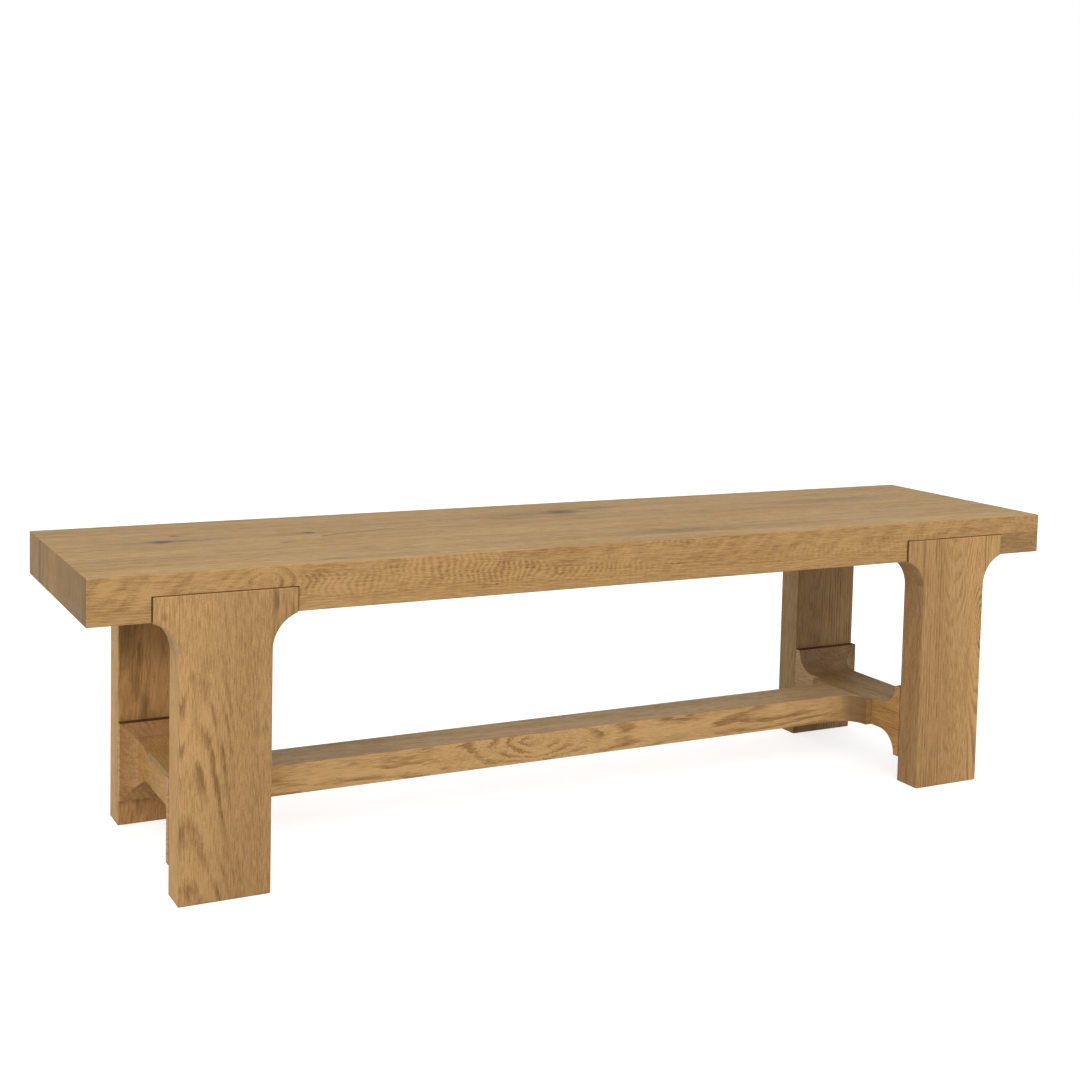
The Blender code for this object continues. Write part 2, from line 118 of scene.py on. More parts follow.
# Layers of the grain, and the weight of each
GRAIN_LAYERS = {
    "streaks": (Noise((3.0, 60.0, 60.0), 3.0, 0.68), 1.1),
    "fibre": (Noise((42.0, 680.0, 680.0), 3.0, 0.60), 2.0),
    "grit": (Noise((650.0, 900.0, 900.0), 1.0, 0.50), 0.75),
    "cloud": (Noise((2.6, 8.0, 8.0), 2.0, 0.50), 0.40),
}
# Pores: where the noise starts and ends to show them, their weight and their depth
PORES = Noise((90.0, 1100.0, 1100.0), detail=1.0)
PORE_RANGE = (0.56, 0.70)
PORE_WEIGHT = 0.16
PORE_DEPTH = 0.6

# Rings: the noises that bend them, with how many rings each moves them by; where the dark line
# of a ring starts and peaks, the line's mean, and how the lines fade in places
RING_BENDS = (
    (Noise((30.0, 420.0, 420.0)), 0.75),
    (Noise((3.0, 14.0, 14.0)), 5.0),
    (Noise((13.0, 60.0, 60.0)), 0.6),
)
LINE_START = 0.25
LINE_PEAK = 0.80
LINE_MEAN = 0.22
RING_FADE = Noise((9.0, 45.0, 45.0), detail=3.0)
RING_FADE_RANGE = (0.36, 0.62, 0.1, 1.0)

# Ripple: its pitch in metres, the noise that bends it and by how many waves, where the noise
# of its patches starts and ends, and how it changes the tone and the rings
RIPPLE_PITCH = 0.0105
RIPPLE_BEND = Noise((8.0, 20.0, 26.0))
RIPPLE_BEND_REACH = 5.2
RIPPLE_PATCHES = Noise((5.0, 24.0, 24.0))
RIPPLE_PATCH_RANGE = (0.36, 0.60)
RIPPLE_TONE = 0.26
RIPPLE_RINGS = 0.4
# Flame: broad marks that lean across the grain
FLAME = Noise((16.0, 1.0, 70.0))
FLAME_LEAN = 0.9
FLAME_TONE = 1.7

BUMP_DISTANCE = 0.0004
BUMP_STRENGTH = 0.35
OAK_ROUGHNESS = (0.50, 0.66)
OAK_SPECULAR = 0.10

# The oak group's sockets
OAK_INPUTS = {"Grain": "Vector", "Seed": "Float", "Light": "Color", "Dark": "Color",
              "Ring Width": "Float", "Rings": "Float", "Streaks": "Float", "Ripple": "Float",
              "Flame": "Float", "Bend": "Float"}
OAK_OUTPUTS = {"Color": "Color", "Height": "Float", "Roughness": "Float"}

# How a board was cut: the pith's place to the side and in depth from the board's centre and its
# tilt there, the width of a ring in metres, and the strength of the rings, streaks and bends.
# The rings' strength is a number, or fades along the axes whose product it is.
Cut = namedtuple("Cut", "pith tilt ring rings streaks bend", defaults=(1.0,))
# Rings that close round a knot: its centre, how much a step along the grain counts against one
# across it, which draws the rings out, and the rest as in a cut
Knot = namedtuple("Knot", "centre step_along ring rings streaks bend", defaults=(0.7, 1.0))
# How far along the grain the rings still close round a knot, in metres
KNOT_REACH = 0.12

# How squarely a face looks along an axis that it is said to face
SQUARE_ON = 0.8

# The first seed of each group of boards, which counts up by one from board to board
FIRST_SEED = {"staves": 2, "rails": 11, "legs": 31, "cross_stretchers": 61, "inside": 90}


def linear(colour):
    """sRGB out of 255 to the linear colour that a shader takes."""
    shares = [value / 255 for value in colour]
    return [share / 12.92 if share <= 0.04045 else ((share + 0.055) / 1.055) ** 2.4
            for share in shares] + [1.0]


def shaded(colour, shares):
    """A linear colour with red, green and blue each times its share."""
    return [value * share for value, share in zip(linear(colour), shares)] + [1.0]


def dimmed(colour, share):
    """A linear colour times one share."""
    return shaded(colour, (share, share, share))


class Tree:
    """Adds nodes to a node tree, taking numbers, colours or other nodes' sockets as inputs."""

    def __init__(self, tree):
        self.tree = tree

    def add(self, kind, inputs=(), **settings):
        node = self.tree.nodes.new(kind)
        for name, value in settings.items():
            setattr(node, name, value)
        for key, value in dict(inputs).items():
            self.feed(node.inputs[key], value)
        return node

    def feed(self, socket, value):
        if isinstance(value, bpy.types.NodeSocket):
            self.tree.links.new(value, socket)
        else:
            socket.default_value = value

    def math(self, operation, first, second=0.0, clamp=False):
        node = self.add("ShaderNodeMath", {0: first, 1: second}, operation=operation)
        node.use_clamp = clamp
        return node.outputs[0]

    def chain(self, operation, first, *others):
        """Join values by one operation, from the first to the last."""
        for other in others:
            first = self.math(operation, first, other)
        return first

    def product(self, *factors):
        return self.chain("MULTIPLY", *factors)

    def total(self, *terms):
        return self.chain("ADD", *terms)

    def vector(self, operation, first, second=(0.0, 0.0, 0.0)):
        node = self.add("ShaderNodeVectorMath", {0: first, 1: second}, operation=operation)
        return node.outputs["Value" if operation == "LENGTH" else "Vector"]

    def scaled(self, vector, scale):
        return self.vector("MULTIPLY", vector, scale)

    def parts(self, vector):
        node = self.add("ShaderNodeSeparateXYZ", {"Vector": vector})
        return node.outputs["X"], node.outputs["Y"], node.outputs["Z"]

    def joined(self, x, y, z):
        return self.add("ShaderNodeCombineXYZ", {"X": x, "Y": y, "Z": z}).outputs["Vector"]

    def noise(self, vector, noise):
        node = self.add("ShaderNodeTexNoise",
                        {"Vector": self.scaled(vector, noise.scale), "Scale": 1.0,
                         "Detail": noise.detail, "Roughness": noise.roughness})
        return node.outputs["Fac"]

    def swing(self, vector, noise):
        """Noise that swings about zero."""
        return self.math("SUBTRACT", self.noise(vector, noise), 0.5)

    def stretch(self, value, low, high, to_low=0.0, to_high=1.0, smooth=True):
        node = self.add("ShaderNodeMapRange",
                        {"Value": value, "From Min": low, "From Max": high,
                         "To Min": to_low, "To Max": to_high})
        node.interpolation_type = "SMOOTHSTEP" if smooth else "LINEAR"
        return node.outputs["Result"]

    def mix(self, share, first, second):
        node = self.add("ShaderNodeMix", data_type="RGBA")
        sockets = {socket.identifier: socket for socket in node.inputs}
        self.feed(sockets["Factor_Float"], share)
        self.feed(sockets["A_Color"], first)
        self.feed(sockets["B_Color"], second)
        return {socket.identifier: socket for socket in node.outputs}["Result_Color"]

    def spot(self):
        """The point in the frame, in metres."""
        return self.add("ShaderNodeTexCoord").outputs["Object"]

    def place(self, axis):
        """The point's place along an axis of the frame."""
        return self.parts(self.spot())["xyz".index(axis)]

    def fade(self, axis, start, stop, first=0.0, last=1.0):
        """A share that goes from first to last between two places along an axis."""
        return self.stretch(self.place(axis), start, stop, first, last)

    def fades(self, spans):
        """The product of several fades."""
        return self.product(*(self.fade(*span) for span in spans))

    def turn(self, axis, kind="True Normal"):
        """How far a face looks along an axis of the frame, up or down it."""
        normal = self.add("ShaderNodeNewGeometry").outputs[kind]
        return self.math("ABSOLUTE", self.parts(normal)["xyz".index(axis)])

    def facing(self, axis):
        """1 on faces that look along an axis of the frame, up or down it."""
        return self.math("GREATER_THAN", self.turn(axis), SQUARE_ON)


def ripple_in(tree, place, given):
    """The rippled figure: bars across the grain, in patches."""
    wave = tree.total(tree.math("DIVIDE", tree.parts(place)[0], RIPPLE_PITCH),
                      tree.product(tree.swing(place, RIPPLE_BEND), RIPPLE_BEND_REACH))
    wave = tree.math("SINE", tree.product(wave, math.tau))
    patches = tree.stretch(tree.noise(place, RIPPLE_PATCHES), *RIPPLE_PATCH_RANGE)
    return tree.product(wave, patches, given["Ripple"])


def flame_in(tree, place, given):
    along, side, depth = tree.parts(place)
    leaning = tree.joined(tree.total(along, tree.product(depth, FLAME_LEAN)), side,
                          tree.total(depth, tree.product(along, -FLAME_LEAN)))
    return tree.product(tree.swing(leaning, FLAME), FLAME_TONE, given["Flame"])


def ring_lines_in(tree, place, given, ripple):
    """The dark line of each ring, 1 where it peaks."""
    radius = tree.vector("LENGTH", tree.scaled(given["Grain"], (0.0, 1.0, 1.0)))
    age = tree.total(tree.math("DIVIDE", radius, given["Ring Width"]),
                     tree.product(ripple, RIPPLE_RINGS))
    for bend, reach in RING_BENDS:
        age = tree.total(age, tree.product(tree.swing(place, bend), reach, given["Bend"]))
    phase = tree.math("FRACT", age)
    return tree.product(tree.stretch(phase, LINE_START, LINE_PEAK),
                        tree.stretch(phase, LINE_PEAK, 1.0, 1.0, 0.0),
                        tree.stretch(tree.noise(place, RING_FADE), *RING_FADE_RANGE))


def make_oak_group():
    """Oak cut from a log: X runs along the grain and the pith is where Y and Z are zero."""
    group = bpy.data.node_groups.new("oak", "ShaderNodeTree")
    for in_out, sockets in (("INPUT", OAK_INPUTS), ("OUTPUT", OAK_OUTPUTS)):
        for name, kind in sockets.items():
            group.interface.new_socket(name, in_out=in_out, socket_type="NodeSocket" + kind)
    tree = Tree(group)
    given = tree.add("NodeGroupInput").outputs
    shift = tree.scaled(tree.joined(given["Seed"], given["Seed"], given["Seed"]), SEED_STEP)
    place = tree.vector("ADD", given["Grain"], shift)
    ripple = ripple_in(tree, place, given)
    lines = ring_lines_in(tree, place, given, ripple)
    layers = {name: tree.product(tree.swing(place, noise), weight)
              for name, (noise, weight) in GRAIN_LAYERS.items()}
    pores = tree.stretch(tree.noise(place, PORES), *PORE_RANGE)
    amount = tree.total(
        tree.product(tree.math("SUBTRACT", lines, LINE_MEAN), given["Rings"]),
        tree.product(layers["streaks"], given["Streaks"]),
        layers["fibre"], layers["grit"], layers["cloud"],
        tree.product(pores, PORE_WEIGHT), tree.product(ripple, RIPPLE_TONE),
        flame_in(tree, place, given))
    amount = tree.math("ADD", amount, MEAN_AMOUNT, clamp=True)
    tree.add("NodeGroupOutput", {
        "Color": tree.mix(amount, given["Light"], given["Dark"]),
        "Height": tree.math("SUBTRACT", layers["fibre"], tree.product(pores, PORE_DEPTH)),
        "Roughness": tree.stretch(amount, 0.0, 1.0, *OAK_ROUGHNESS, smooth=False)})
    return group


OAK_GROUP = make_oak_group()


class Board:
    """A board's material: its oak, to which marks of its own may be added."""

    def __init__(self, name, grain, centre, cut, seed, mean):
        self.material = bpy.data.materials.new(name)
        self.material.use_nodes = True
        self.tree = Tree(self.material.node_tree)
        self.group = self.add_grain(grain, centre, cut, seed, mean)
        self.colour = self.group.outputs["Color"]

    def add_oak(self, place, wood, seed, mean):
        """Add the oak group for a cut or a knot, at a place with the grain along X."""
        number = isinstance(wood.rings, float)
        return self.tree.add("ShaderNodeGroup", {
            "Grain": place, "Seed": seed,
            "Light": shaded(mean, LIGHT_SHARES), "Dark": shaded(mean, DARK_SHARES),
            "Ring Width": wood.ring, "Streaks": wood.streaks, "Bend": wood.bend,
            "Rings": wood.rings if number else self.tree.fades(wood.rings)}, node_tree=OAK_GROUP)

    def add_grain(self, grain, centre, cut, seed, mean):
        """Oak whose grain runs along an axis of the frame."""
        tree = self.tree
        x, y, z = tree.parts(tree.vector("SUBTRACT", tree.spot(), centre))
        along, side, depth = {"x": (x, y, z), "y": (y, x, z), "z": (z, x, y)}[grain]
        side = tree.total(side, tree.product(along, cut.tilt[0]), -cut.pith[0])
        depth = tree.total(depth, tree.product(along, cut.tilt[1]), -cut.pith[1])
        return self.add_oak(tree.joined(along, side, depth), cut, seed, mean)

    def add_knot(self, grain, knot, seed, mean):
        """Oak whose rings close round a knot on a face that looks along Y."""
        tree = self.tree
        x, _, z = tree.parts(tree.vector("SUBTRACT", tree.spot(), knot.centre))
        along, across = (x, z) if grain == "x" else (z, x)
        reach = tree.math("TANH", tree.math("DIVIDE", along, KNOT_REACH))
        reach = tree.product(reach, KNOT_REACH * knot.step_along)
        return self.add_oak(tree.joined(along, across, reach), knot, seed, mean)

    def blend(self, share, other):
        """Show another colour where the share is 1."""
        self.colour = self.tree.mix(share, self.colour, other)

    def shade(self, *span):
        """Multiply the colour by a fade."""
        share = self.tree.fade(*span)
        self.colour = self.tree.scaled(self.colour, self.tree.joined(share, share, share))

    def finished(self):
        tree = self.tree
        shader = self.material.node_tree.nodes["Principled BSDF"]
        bump = tree.add("ShaderNodeBump", {"Height": self.group.outputs["Height"],
                                           "Distance": BUMP_DISTANCE, "Strength": BUMP_STRENGTH})
        tree.feed(shader.inputs["Base Color"], self.colour)
        tree.feed(shader.inputs["Roughness"], self.group.outputs["Roughness"])
        tree.feed(shader.inputs["Normal"], bump.outputs["Normal"])
        shader.inputs["Specular IOR Level"].default_value = OAK_SPECULAR
        return self.material


def paint(item, material):
    item.data.materials.clear()
    item.data.materials.append(material)


def dress(node, material):
    """Give a CAD node its material."""
    paint(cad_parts[node], material)


def middle_of(node):
    low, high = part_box(node)
    return tuple((low + high) / 2)


def lowest(node, axis):
    return float(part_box(node)[0]["xyz".index(axis)])


def highest(node, axis):
    return float(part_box(node)[1]["xyz".index(axis)])


# Knots and dark streaks of the seat's top: place, half length and half width in metres, strength
KNOTS = {
    "left": (-0.661, 0.037, 0.026, 0.017, 1.0),
    "left_tail": (-0.640, 0.036, 0.110, 0.020, 0.48),
    "left_dot": (-0.633, 0.082, 0.010, 0.008, 0.70),
    "second": (-0.434, 0.044, 0.016, 0.010, 1.0),
    "second_tail": (-0.450, 0.043, 0.080, 0.014, 0.38),
    "small": (-0.492, -0.024, 0.016, 0.009, 0.55),
    "front_streak": (-0.466, -0.172, 0.036, 0.007, 0.60),
    "front_streak_tail": (-0.400, -0.170, 0.140, 0.018, 0.22),
    "middle": (0.034, 0.100, 0.052, 0.027, 0.88),
    "middle_left": (-0.075, 0.070, 0.055, 0.014, 0.30),
    "middle_tail": (-0.020, 0.100, 0.170, 0.034, 0.32),
    "middle_rear": (0.108, 0.122, 0.055, 0.016, 0.50),
    "front_smear": (0.133, -0.130, 0.110, 0.022, 0.45),
    "front_smear_tail": (0.300, -0.140, 0.170, 0.020, 0.25),
    "right": (0.543, 0.059, 0.040, 0.014, 0.50),
    "right_tail": (0.580, 0.066, 0.170, 0.028, 0.35),
}
# Dark dots on the seat's front edge: place along and up, half length, half width, strength
EDGE_DOTS = {
    "right_end": (0.806, 0.409, 0.0035, 0.0030, 0.60),
    "middle": (-0.229, 0.408, 0.0035, 0.0020, 0.55),
}
# A knot's edge: the noise that makes it uneven and by how much, the fibre that shows through and
# how much, and where the dark starts to fall off and ends, as shares of the half length or width
KNOT_WOBBLE = Noise((60.0, 160.0, 160.0), detail=3.0)
KNOT_WOBBLE_REACH = 0.9
KNOT_FIBRE = Noise((16.0, 260.0, 260.0), detail=3.0)
KNOT_FIBRE_RANGE = (0.35, 0.65, 0.65, 1.0)
KNOT_EDGE = (0.10, 1.25)


def turned(noise, axes):
    """Noise for grain along X, turned for grain along the first of two axes."""
    return noise if axes[0] == "x" else noise._replace(scale=noise.scale[::-1])


def knot_share(tree, knots, axes="xy"):
    """How dark the knots make each point, with the grain along the first of two axes."""
    first, second = (tree.place(axis) for axis in axes)
    wobble = tree.product(tree.swing(tree.spot(), turned(KNOT_WOBBLE, axes)), KNOT_WOBBLE_REACH)
    fibre = tree.stretch(tree.noise(tree.spot(), turned(KNOT_FIBRE, axes)), *KNOT_FIBRE_RANGE)
    shares = []
    for knot_along, knot_across, half_length, half_width, strength in knots:
        along = tree.math("DIVIDE", tree.total(first, -knot_along), half_length)
        across = tree.math("DIVIDE", tree.total(second, -knot_across), half_width)
        distance = tree.total(tree.vector("LENGTH", tree.joined(along, across, 0.0)), wobble)
        shares.append(tree.product(tree.stretch(distance, *KNOT_EDGE, strength, 0.0), fibre))
    return tree.chain("MAXIMUM", *shares)


# The crack behind the second knot: its ends, half its width, its strength, and its waver
CRACK_START = (-0.425, 0.010)
CRACK_END = (-0.160, 0.074)
CRACK_HALF_WIDTH = 0.0022
CRACK_STRENGTH = 0.85
CRACK_WAVER = Noise((12.0, 0.0, 0.0))
CRACK_WAVER_REACH = 0.012


def crack_share(tree):
    """A hairline in the top that runs on from the second knot and fades to the right."""
    x = tree.place("x")
    slope = (CRACK_END[1] - CRACK_START[1]) / (CRACK_END[0] - CRACK_START[0])
    track = tree.total(tree.product(tree.total(x, -CRACK_START[0]), slope), CRACK_START[1],
                       tree.product(tree.swing(tree.spot(), CRACK_WAVER), CRACK_WAVER_REACH))
    off = tree.math("ABSOLUTE", tree.math("SUBTRACT", tree.place("y"), track))
    above = middle_of("seat_stave_middle")[2]
    return tree.product(tree.stretch(off, 0.0, CRACK_HALF_WIDTH * 2, CRACK_STRENGTH, 0.0),
                        tree.math("GREATER_THAN", x, CRACK_START[0]),
                        tree.math("GREATER_THAN", tree.place("z"), above),
                        tree.fade("x", CRACK_START[0], CRACK_END[0], 1.0, 0.0))


# Bands of the seat's end faces from the rear to the front: where each ends, and its shade, as
# shares; half the blur between them, and the noise that makes them waver and by how much
END_BANDS = ((0.18, 1.12), (0.23, 0.66), (0.38, 1.02), (0.50, 1.24), (0.66, 1.0), (0.94, 0.94),
             (1.0, 0.76))
BAND_BLUR = 0.01
BAND_WAVER = Noise((0.0, 20.0, 6.0))
BAND_WAVER_REACH = 0.05
# Their streaks and flecks with the weight of each, where both show, and how strongly
END_STREAKS = (Noise((0.0, 60.0, 22.0), detail=4.0, roughness=0.60), 0.75)
END_FLECKS = (Noise((0.0, 900.0, 420.0)), 0.25)
END_STREAK_RANGE = (0.40, 0.68)
END_STREAK_STRENGTH = 0.55


def end_colour(tree):
    """Upright bands that run over the whole end of the slab, with fine streaks."""
    rear = highest("seat_stave_rear", "y")
    depth = rear - lowest("seat_stave_front", "y")
    share = tree.total(
        tree.math("DIVIDE", tree.math("SUBTRACT", rear, tree.place("y")), depth),
        tree.product(tree.swing(tree.spot(), BAND_WAVER), BAND_WAVER_REACH))
    ramp = tree.add("ShaderNodeValToRGB", {"Fac": share})
    edges = []
    start = 0.0
    for stop, shade in END_BANDS:
        edges += [(start + BAND_BLUR, shade), (stop - BAND_BLUR, shade)]
        start = stop
    stops = ramp.color_ramp.elements
    for stop, (position, shade) in zip(stops, (edges[0], edges[-1])):
        stop.position = position
        stop.color = dimmed(END_BROWN, shade)
    for position, shade in edges[1:-1]:
        stops.new(position).color = dimmed(END_BROWN, shade)
    streaks = tree.total(*(tree.product(tree.noise(tree.spot(), noise), weight)
                           for noise, weight in (END_STREAKS, END_FLECKS)))
    dark = tree.product(tree.stretch(streaks, *END_STREAK_RANGE), END_STREAK_STRENGTH)
    return tree.mix(dark, ramp.outputs["Color"], shaded(END_BROWN, DARK_SHARES))


# The figure of the long edges: its cut, and its seed by row
EDGE_CUT = Cut((0.06, 0.035), (0.0, 0.018), 0.0030, 0.26, 0.40)
EDGE_SEEDS = {"front": 5.0, "middle": 6.0, "rear": 7.0}
# How ripple and flame change along the edge, between which shares of its height they come in,
# and how much of them its foot has
EDGE_RIPPLE = (("x", -0.60, -0.52, 0.15, 1.0), ("x", -0.05, 0.15, 1.0, 0.4))
EDGE_FLAME = ("x", -0.60, -0.45, 1.0, 0.5)
EDGE_RISE = (0.15, 0.50)
EDGE_LEAST = 0.15
# The eye in the front edge over the left head: its rings, where it fades in and out, its flame,
# and how its rings come in about its heart: two distances, and the strength inside
EYE = Knot((-0.578, 0.0, 0.434), 0.70, 0.0098, 0.72, bend=0.4)
EYE_SPAN = (("x", -0.616, -0.599), ("x", -0.545, -0.520, 1.0, 0.0))
EYE_FLAME = 0.5
EYE_HEART = (0.009, 0.014, 0.15)


def edge_colour(board, row):
    """The figure of a long edge of the seat, which runs on from its stave into its rails."""
    tree = board.tree
    bottom, top = lowest("front_rail_middle", "z"), highest("seat_stave_front", "z")
    start, stop = (bottom + (top - bottom) * share for share in EDGE_RISE)
    upper = tree.fade("z", start, stop, EDGE_LEAST, 1.0)
    centre = (0.0, lowest("seat_stave_" + row, "y"), (bottom + top) / 2)
    seed = EDGE_SEEDS[row]
    edge = board.add_grain("x", centre, EDGE_CUT, seed, EDGE_GOLD)
    tree.feed(edge.inputs["Ripple"], tree.product(tree.fades(EDGE_RIPPLE), upper))
    tree.feed(edge.inputs["Flame"], tree.product(tree.fade(*EDGE_FLAME), upper))
    if row != "front":
        return edge.outputs["Color"]
    eye = board.add_knot("x", EYE, seed, EDGE_GOLD)
    eye.inputs["Flame"].default_value = EYE_FLAME
    off = tree.vector("SUBTRACT", tree.spot(), EYE.centre)
    off = tree.vector("LENGTH", tree.scaled(off, (EYE.step_along, 0.0, 1.0)))
    tree.feed(eye.inputs["Rings"], tree.stretch(off, *EYE_HEART, EYE.rings))
    return tree.mix(tree.fades(EYE_SPAN), edge.outputs["Color"], eye.outputs["Color"])


TOP_CUT = Cut((0.03, -0.16), (0.02, 0.01), 0.0040, 0.12, 0.85)
# How the tone of the top drifts across each stave: from where to where, and the two shares
TOP_SHADES = {
    "front": (-0.180, -0.120, 1.10, 0.98),
    "middle": (-0.075, 0.045, 1.06, 0.97),
    "rear": (0.060, 0.190, 0.97, 0.95),
}


def dress_staves():
    """The upper layer of the seat: a tan top, golden long edges and banded ends."""
    for seed, (row, shades) in enumerate(TOP_SHADES.items(), FIRST_SEED["staves"]):
        node = "seat_stave_" + row
        board = Board(node, "x", middle_of(node), TOP_CUT, seed, TOP_TAN)
        board.shade("y", *shades)
        board.blend(knot_share(board.tree, KNOTS.values()), linear(KNOT_DARK))
        if row != "front":
            board.blend(crack_share(board.tree), linear(KNOT_DARK))
        board.blend(board.tree.facing("y"), edge_colour(board, row))
        board.blend(board.tree.facing("x"), end_colour(board.tree))
        dress(node, board.finished())


# The one rail whose joint with the stave above shows
OPEN_RAIL = "front_rail_right"
RAIL_CUT = Cut((0.09, 0.03), (0.0, 0.035), 0.0024, 0.10, 0.20)
PLAIN_CUT = Cut((0.0, 0.09), (0.0, 0.024), 0.0018, 0.45, 0.5)


def closed_up(node, above):
    """A copy of a rail without its gap to the stave above and, if it is long, to leg heads."""
    copy = bpy.data.objects.new(node + "_closed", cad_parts[node].data.copy())
    bpy.context.scene.collection.objects.link(copy)
    low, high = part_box(node)
    seat_low, seat_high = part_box(above)
    gap = seat_low[2] - high[2]
    near = gap / 2
    meets_head = {"low": low[0] > seat_low[0] + gap, "high": high[0] < seat_high[0] - gap}
    for vertex in copy.data.vertices:
        place = vertex.co
        if abs(place.z - high[2]) < near:
            place.z = seat_low[2]
        if node.startswith("end_rail"):
            continue
        if meets_head["low"] and abs(place.x - low[0]) < near:
            place.x -= gap
        if meets_head["high"] and abs(place.x - high[0]) < near:
            place.x += gap
    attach(copy, "root")
    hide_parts(node)
    return copy


def dress_rail(node, above, board):
    board.blend(board.tree.facing("x"), end_colour(board.tree))
    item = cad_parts[node] if node == OPEN_RAIL else closed_up(node, above)
    paint(item, board.finished())


def dress_rails():
    """The lower layer of the seat's edges, which goes on with the figure of the upper one."""
    seeds = count(FIRST_SEED["rails"])
    for end in ("front", "rear"):
        for span in ("left", "middle", "right"):
            node = "_".join((end, "rail", span))
            board = Board(node, "x", middle_of(node), RAIL_CUT, next(seeds), EDGE_DARK)
            if node != OPEN_RAIL:
                board.blend(board.tree.facing("y"), edge_colour(board, end))
            if end == "front":
                dots = knot_share(board.tree, EDGE_DOTS.values(), "xz")
                board.blend(dots, linear(KNOT_DARK))
            dress_rail(node, "seat_stave_" + end, board)
    for side in ("left", "right"):
        node = "end_rail_" + side
        board = Board(node, "y", middle_of(node), PLAIN_CUT, next(seeds), LEG_GOLD)
        dress_rail(node, "seat_stave_middle", board)


def paint_housing_shade(board):
    """Paint shade on what a leg head shows inside its housing in the slab: its sides and its top.
    """
    tree = board.tree
    inside = tree.math("GREATER_THAN", tree.place("z"), lowest("front_rail_middle", "z"))
    within = tree.math("MAXIMUM", tree.facing("x"), tree.facing("z"))
    # painted shade in the gaps round the head, on its sides and top
    board.blend(tree.product(inside, within), linear(JOINT_SHADE_DARK))


def straight_lines(ring, rings, streaks):
    """A cut far from the pith, whose rings show as straight lines."""
    return Cut((-0.30, 0.0), (0.006, 0.0), ring, rings, streaks, bend=0.30)


# The post of each leg
LEG_CUTS = {
    "left_front": Cut((-0.048, 0.125), (0.01, -0.060), 0.0040,
                      (("x", -0.650, -0.610, 0.82, 0.10), ("z", 0.305, 0.335, 1.0, 0.15)),
                      0.6, bend=0.6),
    "right_front": Cut((0.002, 0.070), (0.0, 0.060), 0.0021,
                       (("z", 0.24, 0.33, 0.15, 0.46),), 0.6, bend=0.5),
    "left_rear": Cut((0.020, 0.120), (-0.06, -0.030), 0.0040, 0.32, 1.1),
    "right_rear": Cut((-0.020, 0.075), (0.0, 0.040), 0.0024,
                      (("z", 0.25, 0.29, 0.15, 0.90),), 0.6),
}
# Colours of each leg's face and sides, and the strength of the sides' rings, streaks and bends
LEG_COLOURS = {
    "left_front": (LEG_GOLD, LEG_PALE),
    # the right legs' sides take darker side colours, as painted shade
    "right_front": (LEG_GOLD, LEG_PAINTED_SHADE_SIDE),
    "left_rear": (REAR_GOLD, LEG_PALE),
    "right_rear": (REAR_BROWN, REAR_PAINTED_SHADE_SIDE),
}
SIDE_RINGS = 0.30
SIDE_STREAKS = 0.45
SIDE_BEND = 1.0

# Straight lines down part of a face: where they come in, and their cut
LEG_LINES = {
    "right_front": (("x", 0.626, 0.604), straight_lines(0.0056, 0.50, 0.6)),
    "right_rear": (("x", 0.618, 0.634), straight_lines(0.0058, 0.90, 0.6)),
}
# Rings that close round a knot off the right edge of one leg, where they come in, and how far
# their seed is from the leg's own
KNOTTED_LEG = "right_front"
LEG_KNOT = Knot((0.700, 0.0, 0.270), 0.34, 0.0045, 0.9, bend=0.5)
LEG_KNOT_SPAN = (("x", 0.670, 0.684), ("z", 0.325, 0.350, 1.0, 0.0))
LEG_KNOT_SEED = 0.5
# How the tone of a leg's face drifts: up some legs, the left front one darker towards its foot
# and the left rear one darker at the top as painted shade from the seat, and from left to right
# on all of them
LEG_RISE_AND_SHADE = {
    "left_front": ("z", 0.10, 0.25, 0.94, 1.0),
    # painted shade: the left rear leg's face darkens towards the top, as under the seat
    "left_rear": ("z", 0.20, 0.33, 1.10, 0.54),
}
LEG_DRIFT = {
    "left_front": ("x", -0.685, -0.630, 1.11, 0.96),
    "right_front": ("x", 0.580, 0.690, 0.92, 1.13),
    "left_rear": ("x", -0.690, -0.580, 1.16, 1.06),
    "right_rear": ("x", 0.580, 0.690, 0.88, 1.08),
}
# Soft dark blots of the legs: place up and along the bench, half length, half width, strength
LEG_BLOTS = {
    "left_front": (
        (0.308, -0.664, 0.044, 0.0080, 0.30),
        (0.262, -0.677, 0.038, 0.0065, 0.26),
    ),
    "left_rear": (
        (0.292, -0.686, 0.050, 0.022, 0.48),
        (0.262, -0.665, 0.036, 0.007, 0.50),
        (0.215, -0.669, 0.034, 0.009, 0.50),
        (0.182, -0.657, 0.040, 0.011, 0.52),
        (0.030, -0.667, 0.030, 0.007, 0.45),
    ),
}

# Head blocks, and those that are cut in another way
HEAD_CUT = Cut((0.05, 0.08), (0.0, 0.01), 0.0026, 0.36, 0.8)
HEAD_CUTS = {
    "inner_head_block_left_front": HEAD_CUT._replace(rings=0.24),
    "outer_head_block_left_front": HEAD_CUT._replace(rings=0.24),
    "inner_head_block_right_front": straight_lines(0.0140, 0.40, 0.5),
    "outer_head_block_right_front": straight_lines(0.0060, 0.85, 0.5),
}
# A dark streak and a small knot on head blocks, in the same way as the blots
HEAD_MARKS = {
    "inner_head_block_left_front": (0.410, -0.564, 0.024, 0.0045, 0.66),
    "outer_head_block_left_front": (0.399, -0.718, 0.007, 0.0050, 0.45),
}


